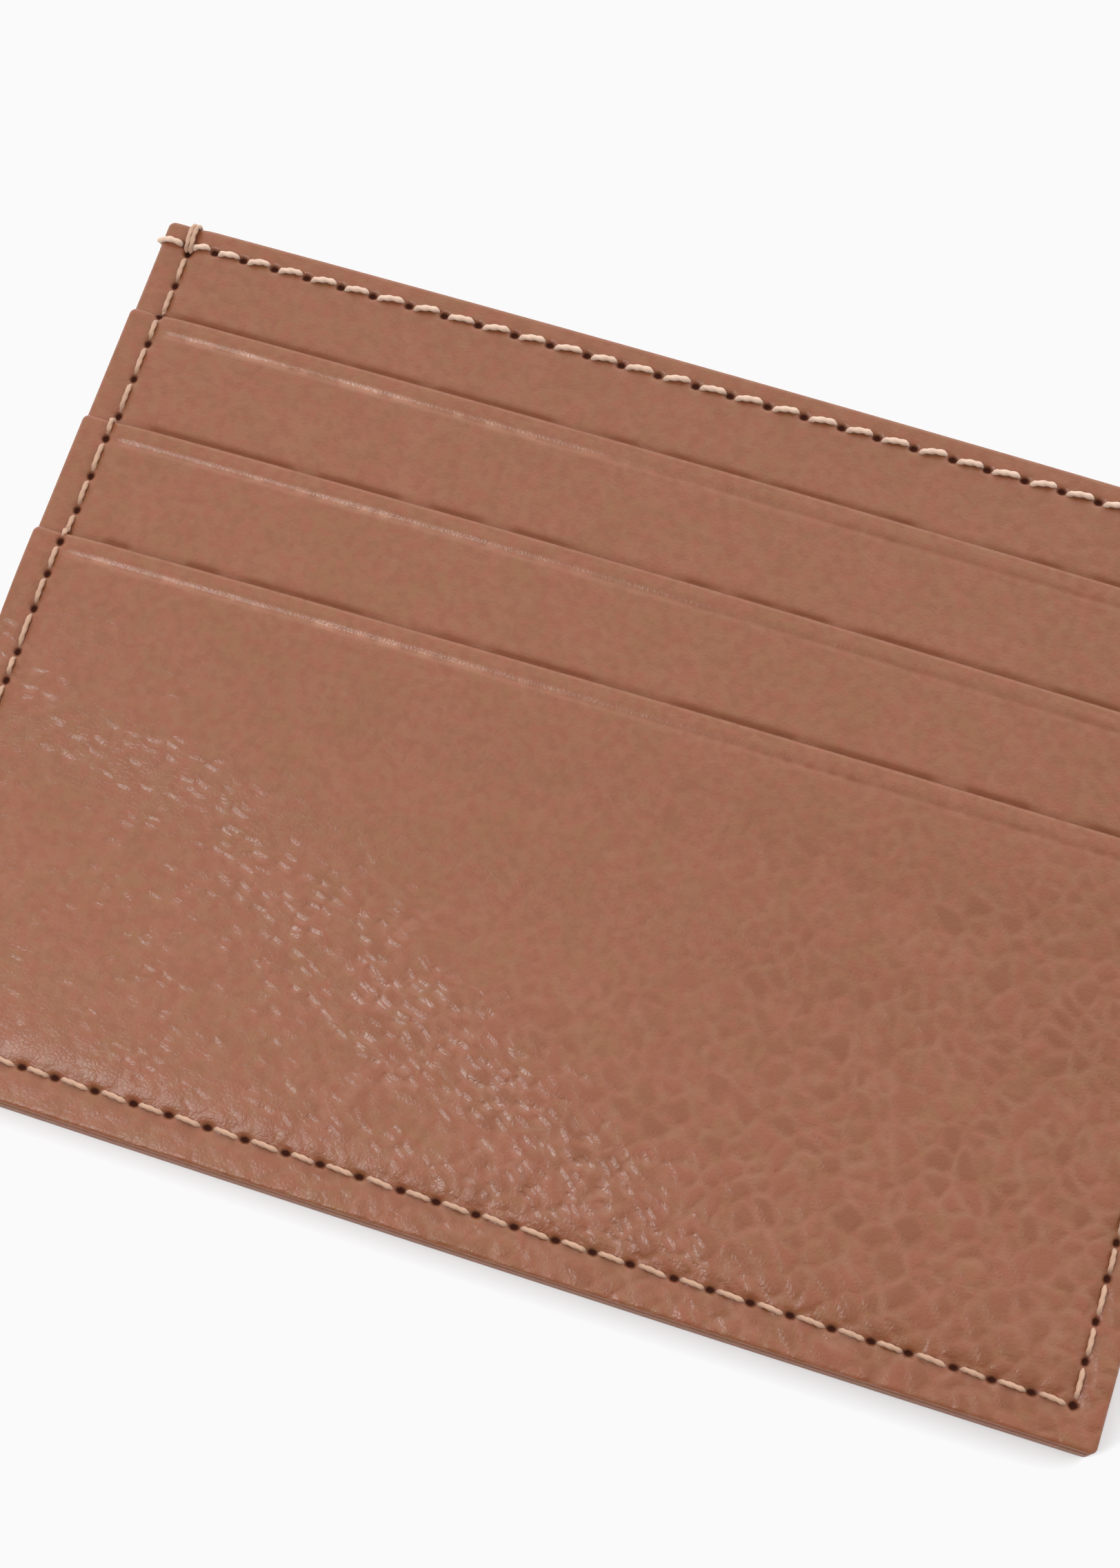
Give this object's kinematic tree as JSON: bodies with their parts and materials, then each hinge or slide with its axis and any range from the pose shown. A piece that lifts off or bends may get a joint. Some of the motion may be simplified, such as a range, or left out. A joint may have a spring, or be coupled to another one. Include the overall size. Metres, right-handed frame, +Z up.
{
  "type": "card holder",
  "caption": "Slim rectangular card holder in stitched turned-edge leather, with stepped card slots on the front and a centre pocket open along the top edge.",
  "frame": {"origin": "centre of the underside of the holder's bounding box, as it lies on its back", "axes": "+X along the width, +Y towards the open top edge, +Z up from the back to the card slots"},
  "size_m": [0.101, 0.0754, 0.0058],
  "materials": {
    "front_leather": "pebbled grain, satin, tan brown with a faint pink sheen",
    "back_leather": "pebbled grain, satin, tan brown",
    "hem_thread": "bright cream twisted thread",
    "side_thread": "tan cream twisted thread, sunk in the leather",
    "hidden_thread": "brown sewing thread",
    "lining_fabric": "brown plain-woven lining cloth",
    "stiffener_board": "bonded leather-fibre board, matt"
  },
  "bodies": {
    "root": {"back_panel": "back_leather", "back_stiffener": "stiffener_board", "centre_lining_back": "lining_fabric", "centre_lining_front": "lining_fabric", "front_stiffener": "stiffener_board", "front_base_panel": "front_leather", "slot_1_strip": "front_leather", "slot_1_lining": "lining_fabric", "slot_2_strip": "front_leather", "slot_2_lining": "lining_fabric", "slot_3_panel": "front_leather", "perimeter_thread": "side_thread", "front_hem_thread": "hem_thread", "back_hem_thread": "hem_thread", "slot_1_join_thread": "hidden_thread", "slot_1_floor_thread": "hidden_thread", "slot_2_join_thread": "hidden_thread", "slot_2_floor_thread": "hidden_thread"}
  },
  "joints": []
}
